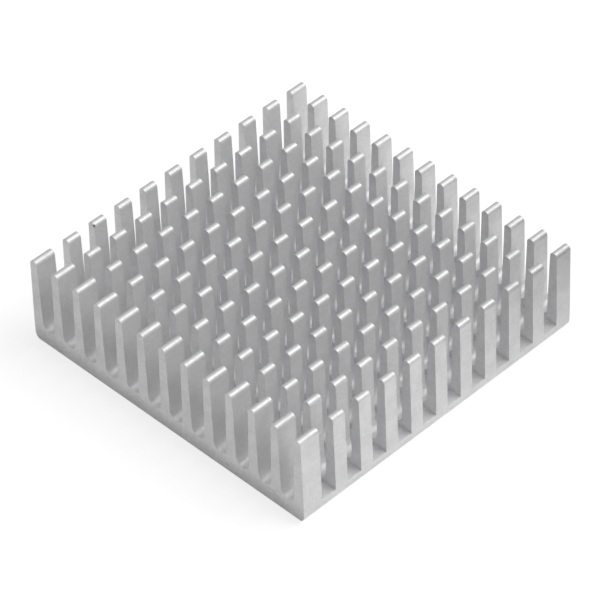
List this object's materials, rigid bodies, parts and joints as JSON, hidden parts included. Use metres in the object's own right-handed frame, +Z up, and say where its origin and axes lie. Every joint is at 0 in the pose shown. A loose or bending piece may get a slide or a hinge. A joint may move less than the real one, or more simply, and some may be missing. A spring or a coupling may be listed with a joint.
{
  "type": "pin fin heat sink",
  "caption": "Square aluminium heat sink with a flat underside and upright pins, sawn across from one ribbed extrusion, that pass a chip's heat to the air.",
  "frame": {"origin": "centre of the underside, the flat face that sits on the chip", "axes": "+X across the ribs, +Y along the extrusion, +Z up from the underside to the pin tips"},
  "size_m": [0.04, 0.04, 0.0113],
  "materials": {
    "aluminium": "satin"
  },
  "bodies": {
    "root": {"heat_sink": "aluminium"}
  },
  "joints": []
}
